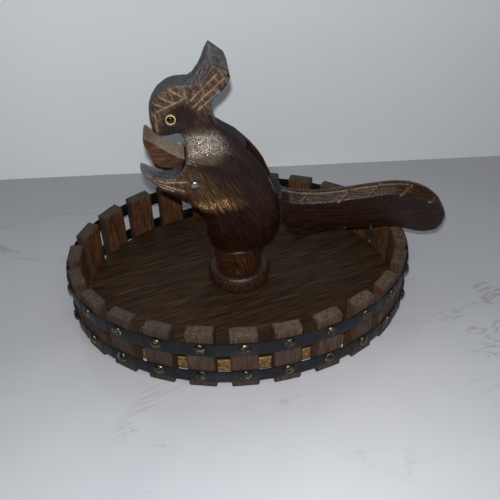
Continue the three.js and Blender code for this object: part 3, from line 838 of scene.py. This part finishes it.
def make_eye(word):
    """A rounded enamel ring and the dark dome that it holds."""
    low, high, middle = box_of("eye_ring_" + word)
    axis = Vector((0, math.copysign(1, middle.y), 0))
    inner_face, outer_face = sorted((abs(low.y), abs(high.y)))
    radius = (high.x - low.x) / 2 * EYE_RING_SHARE
    bore = EYE_BORE * MM
    depth = outer_face - inner_face
    tube = (radius - bore) / 2
    steps = 10
    profile = [(bore, 0), (radius, 0), (radius, depth * 0.5)]
    for step in range(1, steps):
        angle = math.pi * step / steps
        profile.append((radius - tube + tube * math.cos(angle), depth * (0.5 + 0.5 * math.sin(angle))))
    profile.append((bore, depth * 0.5))
    across = Vector((middle.x, 0, middle.z))
    ring = lathe(profile, 48, across + axis * inner_face, axis)
    piece_from("eye_ring_bead_" + word, ring, "eye_ring", 50, ["eye_ring_" + word])
    low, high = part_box("pupil_" + word)
    back, front = sorted((abs(low.y), abs(high.y)))
    radius = (high.x - low.x) / 2
    shoulder = inner_face - back
    brim = shoulder + depth * 0.6
    top = front - back
    profile = [(0, 0), (radius / 2, 0), (radius / 2, shoulder), (radius, shoulder), (radius, brim)]
    for step in range(1, steps):
        angle = math.pi / 2 * step / steps
        profile.append((radius * math.cos(angle), brim + (top - brim) * math.sin(angle)))
    profile.append((0, top))
    dome = lathe(profile, 40, across + axis * back, axis)
    piece_from("pupil_dome_" + word, dome, "pupil", 50, ["pupil_" + word])


def remeshed(node_name, voxel):
    """A CAD node's shape as an even mesh of small quads, and points along its sharp edges."""
    edit = welded(node_name)
    creases = []
    for edge in edit.edges:
        if len(edge.link_faces) == 2 and edge.calc_face_angle(0) > math.radians(33):
            start, end = edge.verts[0].co / MM, edge.verts[1].co / MM
            steps = max(1, int((end - start).length / voxel))
            creases += [start.lerp(end, step / steps) for step in range(steps + 1)]
    rough = linked(node_name + "_rough", mesh_of(edit))
    even = rough.modifiers.new("even", "REMESH")
    even.mode = "VOXEL"
    even.voxel_size = voxel * MM
    depsgraph = bpy.context.evaluated_depsgraph_get()
    result = bpy.data.meshes.new_from_object(rough.evaluated_get(depsgraph))
    bpy.data.objects.remove(rough)
    return result, creases


class Carving:
    """A fine mesh in millimetres that is smoothed and cut by moving its corners."""

    def __init__(self, node_name, *shapers):
        """Starts from a CAD node's shape, reshaped by each shaper and then smoothed away from its edges."""
        self.mesh, creases = remeshed(node_name, CARVED_VOXEL)
        self.read()
        for shape in shapers:
            shape(self)
        free = self.away_from(creases, *EDGE_KEPT)
        for _ in range(SMOOTH_ROUNDS):
            self.pull(0.5, free)
            self.pull(-0.52, free)
        for _ in range(WEAR_ROUNDS):
            self.pull(0.5, np.ones(len(self.places)))

    def read(self):
        count = len(self.mesh.vertices)
        flat = np.empty(count * 3)
        self.mesh.vertices.foreach_get("co", flat)
        self.places = flat.reshape(-1, 3) / MM
        ends = np.empty(len(self.mesh.edges) * 2, dtype=np.int64)
        self.mesh.edges.foreach_get("vertices", ends)
        self.ends = ends.reshape(-1, 2)
        self.degree = np.bincount(self.ends.ravel(), minlength=count)[:, None]

    def write(self):
        self.mesh.vertices.foreach_set("co", (self.places * MM).ravel())
        self.mesh.update()

    def normals(self):
        self.write()
        flat = np.empty(len(self.places) * 3)
        self.mesh.vertex_normals.foreach_get("vector", flat)
        return flat.reshape(-1, 3)

    def neighbour_mean(self, values):
        total = np.zeros_like(values)
        for column in range(values.shape[1]):
            for here, there in ((0, 1), (1, 0)):
                weights = values[self.ends[:, there], column]
                total[:, column] += np.bincount(self.ends[:, here], weights=weights, minlength=len(values))
        return total / self.degree

    def pull(self, share, weights):
        """Moves each corner by a share of the way to the mean of its neighbours, times its weight."""
        self.places += share * weights[:, None] * (self.neighbour_mean(self.places) - self.places)

    def away_from(self, points, near, far):
        """For each corner, 0 within the near distance of the points, rising to 1 at the far distance."""
        tree = kdtree.KDTree(len(points))
        for index, point in enumerate(points):
            tree.insert(point, index)
        tree.balance()
        return rise(np.array([tree.find(place)[2] for place in self.places]), near, far)

    def line_distance(self, *lines):
        """Each corner's distance, seen from the side, to the nearest of some lines of x and z points."""
        flat = self.places[:, [0, 2]]
        best = np.full(len(flat), np.inf)
        for start, end in (pair for line in lines for pair in zip(line, line[1:])):
            start, step = np.array(start), np.array(end) - np.array(start)
            share = unit((flat - start) @ step / (step @ step))
            best = np.minimum(best, np.linalg.norm(flat - start - share[:, None] * step, axis=1))
        return best

    def refine(self, near):
        """Splits the edges between corners of the mask once."""
        self.write()
        edit = bmesh.new()
        edit.from_mesh(self.mesh)
        chosen = [edge for edge in edit.edges if near[edge.verts[0].index] and near[edge.verts[1].index]]
        bmesh.ops.subdivide_edges(edit, edges=chosen, cuts=1, use_grid_fill=True)
        edit.to_mesh(self.mesh)
        edit.free()
        self.read()

    def bulge(self):
        """How far each corner stands out from its neighbours, in millimetres, evened out a little."""
        normals = self.normals()
        spread = ((self.places - self.neighbour_mean(self.places)) * normals).sum(axis=1, keepdims=True)
        for _ in range(2):
            spread = self.neighbour_mean(spread)
        return spread[:, 0]

    def finish(self, name, grain, looks, node_name, body):
        """Makes a piece of the carving, with its grain and its looks, each from 0 to 1 at every corner."""
        bulge = self.bulge()
        self.write()
        set_look(self.mesh, "grain", grain)
        set_look(self.mesh, "edge", unit(bulge / 0.055 - 0.5))
        for look, values in looks.items():
            set_look(self.mesh, look, unit(values))
        piece_from(name, self.mesh, "carved_wood", 75, [node_name], body)


def near_side(carving, normals, least=0.25):
    """Corners on the bird's two sides, not on its top, its front or the walls of its slot."""
    return normals[:, 1] * np.sign(carving.places[:, 1]) > least


def tail_side(carving, normals):
    """Corners on the two sides of the tail."""
    x, y, _ = carving.places.T
    return (x > TAIL_START) & near_side(carving, normals, 0.15) & (np.abs(y) > 1.2)


def cut_lines(carving, lines, width, depth, mask_of):
    """Cuts V-shaped lines into the sides."""
    carving.refine((carving.line_distance(*lines) < width * 2.2) & mask_of(carving, carving.normals()))
    normals = carving.normals()
    share = rise(carving.line_distance(*lines), width, 0) * mask_of(carving, normals)
    carving.places -= normals * (share * depth)[:, None]


def line_look(distance, width):
    """1 within a cut line, fading to 0 just outside it."""
    return unit(1.25 - distance / width)


def soft_spot(places, middle, radii):
    """A patch that fades from 1 at its middle to 0 at its rim, seen from the side."""
    offset = (places[:, [0, 2]] - np.array(middle)) / np.array(radii)
    return unit(1.3 - np.linalg.norm(offset, axis=1))


def slope_mouth(carving):
    """Lowers the outer edges of the mouth's floor, and lifts and pushes out the near prong's tip."""
    x, y, z = carving.places.T
    near = y < 0
    wide = np.abs(y)
    back = MOUTH_FLOOR[-1][0]
    edge = np.interp(x, *zip(*MOUTH_FLOOR))
    along = rise(x, back, back - MOUTH_FADE) * (x > MOUTH_FLOOR[0][0] - MOUTH_FADE)
    above = rise(z, edge - MOUTH_BLEND, edge) * (z < edge + 2.5)
    tip = rise(x, -71, -79) * near
    z -= np.maximum(wide - MOUTH_SLOPE_START, 0) * (MOUTH_SLOPE + BEAK_TIP_SLOPE * tip) * along * above
    lift = np.interp(x, BEAK_LIFT_PLACES, BEAK_LIFTS, left=0, right=0)
    z += lift * rise(wide, 11.5, 9) * near * above ** 2
    push = np.interp(z, BEAK_HEIGHTS, BEAK_PUSHES, left=0, right=0)
    x -= push * rise(x, -68, -76) * near


def lower_neck(carving):
    """Lets the body reach a little further down its neck."""
    z = carving.places[:, 2]
    within = (z > NECK_HEIGHTS[0]) & (z < NECK_HEIGHTS[-1])
    z[:] = np.where(within, np.interp(z, NECK_HEIGHTS, NECK_LOWERED), z)


def shape_cheeks(carving):
    """Steepens the slope from the narrow head to the broad body, which catches the light."""
    x, y, z = carving.places.T
    wide = np.abs(y)
    before = np.interp(z, CHEEK_HEIGHTS, CHEEK_BEFORE)
    heights = np.arange(CHEEK_HEIGHTS[0], CHEEK_HEIGHTS[-1], 0.5)
    blend = np.hanning(CHEEK_BLEND) / np.hanning(CHEEK_BLEND).sum()
    padded = np.pad(np.interp(heights, CHEEK_HEIGHTS, CHEEK_AFTER), CHEEK_BLEND // 2, mode="edge")
    after = np.interp(z, heights, np.convolve(padded, blend, "valid"))
    round_off = CHEEK_ROUNDING * ((x - CHEEK_MIDDLE[0]) / 20) ** 2
    after -= round_off * np.exp(-((z - CHEEK_MIDDLE[1]) / 10) ** 2)
    after = np.maximum(after, CHEEK_CORE + 0.4)
    moved = CHEEK_CORE + (wide - CHEEK_CORE) * (after - CHEEK_CORE) / (before - CHEEK_CORE)
    y[:] = np.sign(y) * np.where(wide > CHEEK_CORE, moved, wide)


def blunt_far_prong(carving):
    """Draws the far prong's tip in and lowers its upper edge."""
    x, y, z = carving.places.T
    tip = (y > 0) & (x < FAR_TIP)
    x[tip] += (FAR_TIP - x[tip]) * 0.5
    low, high = FAR_PRONG_HEIGHTS
    upper = (y > 0) & (x < FAR_PRONG_BACK) & (z > low) & (z < high)
    z[upper] = low + (z[upper] - low) * 0.45


def inside_outline(x, z, outline):
    """Which points of a plane lie inside a closed outline."""
    within = np.zeros(len(x), dtype=bool)
    for (x0, z0), (x1, z1) in zip(outline, outline[1:] + outline[:1]):
        if z0 == z1:
            continue
        crossing = (z0 > z) != (z1 > z)
        within ^= crossing & (x < (x1 - x0) * (z - z0) / (z1 - z0) + x0)
    return within


def step_feather(carving):
    """Lets the side feathers of the crest stand proud of its thinner middle."""
    x, y, z = carving.places.T
    rim = carving.line_distance(FEATHER_EDGE)
    carving.refine((rim < 1.4) & (x > -38) & (z > CREST_FOOT) & (np.abs(y) > 3))
    x, y, z = carving.places.T
    wide = np.abs(y)
    within = inside_outline(x, z, FEATHER)
    crest = (x > -36) & (z > CREST_FOOT)
    proud = np.where(within & (wide > 3.4), np.maximum(wide, FEATHER_WIDTH), wide)
    thin = np.where(~within, np.minimum(wide, CREST_WIDTH), proud)
    y[:] = np.sign(y) * np.where(crest, wide + (thin - wide) * rise(x, -36, -31), wide)
    near = (carving.line_distance(FEATHER_EDGE) < 1.2) & crest
    carving.pull(0.5, near * 0.6)


def joint_line(carving):
    """A groove where the body meets its turned neck; returns how near each corner is to the rim below it."""
    places = carving.places
    z = places[:, 2]
    outwards = places[:, :2] - np.array(TRAY_MIDDLE.xy) / MM
    radius = np.linalg.norm(outwards, axis=1, keepdims=True)
    neck = (radius[:, 0] > NECK_RADII[0]) & (radius[:, 0] < NECK_RADII[1])
    groove = np.exp(-((z - NECK_JOINT) / 0.75) ** 2) * neck
    places[:, :2] -= outwards / radius * groove[:, None]
    return np.exp(-((z - NECK_JOINT + 1.5) / 0.6) ** 2) * neck


def brow_lines(places, brow):
    """The line along each edge of the brow, and the ticks across it."""
    x, y, z = places.T
    lines = rise(np.abs(np.abs(y) - BROW_BORDER), BORDER_WIDTH, 0) * brow
    for tick_x, tick_z in BROW_TICKS:
        step = np.hypot(x - tick_x, (z - tick_z) * 0.3)
        lines = np.maximum(lines, rise(step, BORDER_WIDTH, 0) * brow * (np.abs(y) < BROW_BORDER))
    return lines


def make_bird():
    """The carved bird, and where its wood is cut, dry, golden, slate grey or red; the cheek is glossy and made
    pale by a painted sheen, the beak's grey top is partly a painted sheen, and painted shade darkens the back of
    the neck.
    """
    carving = Carving("bird_body", slope_mouth, lower_neck, shape_cheeks, blunt_far_prong)
    step_feather(carving)
    cut_lines(carving, HEAD_CUTS + BEAK_CUTS + MOUTH_CREASES, CUT_WIDTH, CUT_DEPTH, near_side)
    rim = joint_line(carving)
    normals = carving.normals()
    sides = near_side(carving, normals)
    places = carving.places
    x, y, z = places.T
    ahead, across, upwards = normals.T
    bold = carving.line_distance(*HEAD_CUTS, *BEAK_CUTS)
    faint = carving.line_distance(*MOUTH_CREASES)
    cut = np.maximum(line_look(bold, CUT_WIDTH), 0.3 * line_look(faint, CUT_WIDTH)) * sides
    brow = (z > BROW_LOW) & (x < BROW_BACK) & (np.abs(across) < 0.8) & (upwards * 0.65 - ahead * 0.75 > 0.2)
    border = brow_lines(places, brow)
    carving.places = places - normals * (border * BORDER_DEPTH)[:, None]
    head = rise(z, 163, 175)
    around_cuts = unit(1.3 - bold / 3.5) * sides
    dry = 0.5 * head + 0.4 * around_cuts + 0.5 * soft_spot(places, *DRY_BEAK) * sides
    dry -= 0.7 * soft_spot(places, *DARK_TEMPLE)
    crest = (x > -34) & (z > 190) & ~inside_outline(x, z, FEATHER)
    feather_rim = (carving.line_distance(FEATHER_END) < FEATHER_RIM) & (x > -29)
    # The beak's upward faces are painted grey, partly the wood's own grey and partly a painted sheen
    beak_top = (z > BEAK_LOW) & (z < BEAK_HIGH) & (x < BEAK_BACK) & (upwards > 0.6)
    beak_top |= (x < BEAK_FRONT) & (z > BEAK_FRONT_LOW) & (upwards > -0.2)
    slate = np.maximum(0.85 * brow, np.maximum(0.7 * (crest | feather_rim), 0.9 * beak_top))
    # Painted sheen on the cheek: its colour is made pale where the light's reflection falls, ending in a sharp
    # lower edge, besides the real gloss
    sheen = soft_spot(places, *CHEEK_SHEEN) * sides * rise(z + 0.18 * (x + 37), 138.5, 140)
    gold = 0.9 * soft_spot(places, *GOLD_THROAT) + 0.4 * soft_spot(places, *GOLD_BREAST)
    gold += 0.45 * soft_spot(places, *GOLD_CHIN) + 0.12 * around_cuts * head
    # Painted shade on the back of the neck, whose faces turn away from the light
    shaded_nape = rise(x, -30, -24) * (z > 120) * (z < CREST_FOOT) * unit(ahead * 3 - 0.6)
    looks = {
        "cut": np.maximum(cut, np.maximum(border * 0.4, rim * 0.3)), "dry": dry, "gold": gold,
        "slate": slate, "red": 0.5 * rise(z, NECK_JOINT, NECK_JOINT - 2),
        "pale": 0.34 * sheen, "gloss": sheen, "shade": 0.7 * shaded_nape,
    }
    cosine, sine = math.cos(CARVED_GRAIN_LEAN), math.sin(CARVED_GRAIN_LEAN)
    grain = np.column_stack((x * cosine + z * sine, y, z * cosine - x * sine))
    carving.finish("bird_carving", grain, looks, "bird_body", "stand")


def tail_border(carving):
    """A line a little inside the tail's top edge, from the places of its highest corners."""
    x, _, z = carving.places.T
    stations = np.arange(TAIL_BORDER_START, TAIL_BORDER_END, 4.0)
    edge = [Vector((station, z[np.abs(x - station) < 0.8].max())) for station in stations]
    line = []
    for before, here, after in zip(edge, edge[1:], edge[2:]):
        along = (after - before).normalized()
        line.append((here.x + along.y * TAIL_BORDER_INSET, here.y - along.x * TAIL_BORDER_INSET))
    return line


def make_lever():
    """The moving jaw, its hub and the tail that works it, in one piece."""
    carving = Carving("lever")
    border_line = tail_border(carving)
    cut_lines(carving, [border_line], BORDER_WIDTH, BORDER_DEPTH, tail_side)
    cut_lines(carving, TAIL_CUTS, CUT_WIDTH, CUT_DEPTH, tail_side)
    normals = carving.normals()
    x, _, z = carving.places.T
    cuts = line_look(carving.line_distance(*TAIL_CUTS), CUT_WIDTH)
    border = line_look(carving.line_distance(border_line), BORDER_WIDTH)
    cut = np.maximum(cuts, 0.8 * border) * tail_side(carving, normals)
    bevel = (x > 14) & (normals[:, 2] > 0.3)
    jaw = (x < PIN.x / MM - 6) & (z > PIN.z / MM + 8)
    top = normals[:, 2] > 0.45
    # Painted shade darkens the shank where it sits in the body's slot; the jaw's top is made pale by real wear
    # and a painted sheen
    looks = {
        "shade": 0.75 * (x > -30) * rise(x, 22, 18), "cut": 0.8 * cut, "dry": 0.4 * jaw,
        "gold": 0.2 * bevel * rise(x, 30, 60), "red": 0.62 * (jaw & ~top),
        "pale": 0.78 * (jaw & top) * np.maximum(rise(x, -80, -68), 0.3),
    }
    grain = carving.places[:, [2, 1, 0]] + np.array([40.0, 17.0, 5.0])
    carving.finish("lever_carving", grain, looks, "lever", "lever")


def area_lamp(name, spot, target, size, power):
    """A round lamp that shines from a spot at a target."""
    data = bpy.data.lights.new(name, "AREA")
    data.shape = "DISK"
    data.size = size
    data.energy = power
    lamp = linked(name, data)
    lamp.location = spot
    lamp.rotation_euler = (Vector(target) - Vector(spot)).to_track_quat("-Z", "Y").to_euler()


def stage_plane(name, finish, **place):
    bpy.ops.mesh.primitive_plane_add(size=6, **place)
    plane = bpy.context.object
    plane.name = name
    plane.data.materials.append(finish)
    return plane


def make_stage():
    """A pale stone floor and the wall behind, whose foot runs where the photograph shows it."""
    floor = stage_plane("floor", floor_finish(), location=(0, 0, -0.0002))
    foot = WALL_FOOT_RIGHT - WALL_FOOT_LEFT
    turn = (math.pi / 2, 0, math.atan2(foot.y, foot.x))
    middle = (WALL_FOOT_LEFT + WALL_FOOT_RIGHT) / 2
    wall = stage_plane("wall", wall_finish(), location=middle, rotation=turn)


def make_lights():
    """A small flash beside the lens, a weak broad fill and a dim sky."""
    area_lamp("flash", scene.camera.matrix_world @ FLASH_FROM_LENS, (0, 0, 0.1), 0.009, 2.5)
    area_lamp("fill", (0.35, -0.9, 1.5), (0, 0, 0.05), 0.9, 4)
    scene.world = bpy.data.worlds.new("world")
    scene.world.use_nodes = True
    sky = scene.world.node_tree.nodes["Background"]
    sky.inputs["Color"].default_value = (0.93, 0.96, 1, 1)
    sky.inputs["Strength"].default_value = 0.12


make_camera()
make_stage()
make_lights()
scene.view_settings.view_transform = "Standard"

chance = random.Random(7)
for slat_name in SLATS:
    make_slat(slat_name, chance)
for band_name, band_word in (("lower_band", "lower"), ("upper_band", "upper")):
    make_band(band_name)
    make_nails(band_name, band_word, chance)
make_board()
make_foot()
make_pin()
make_screw()
for eye_word in ("right", "left"):
    make_eye(eye_word)
make_bird()
make_lever()
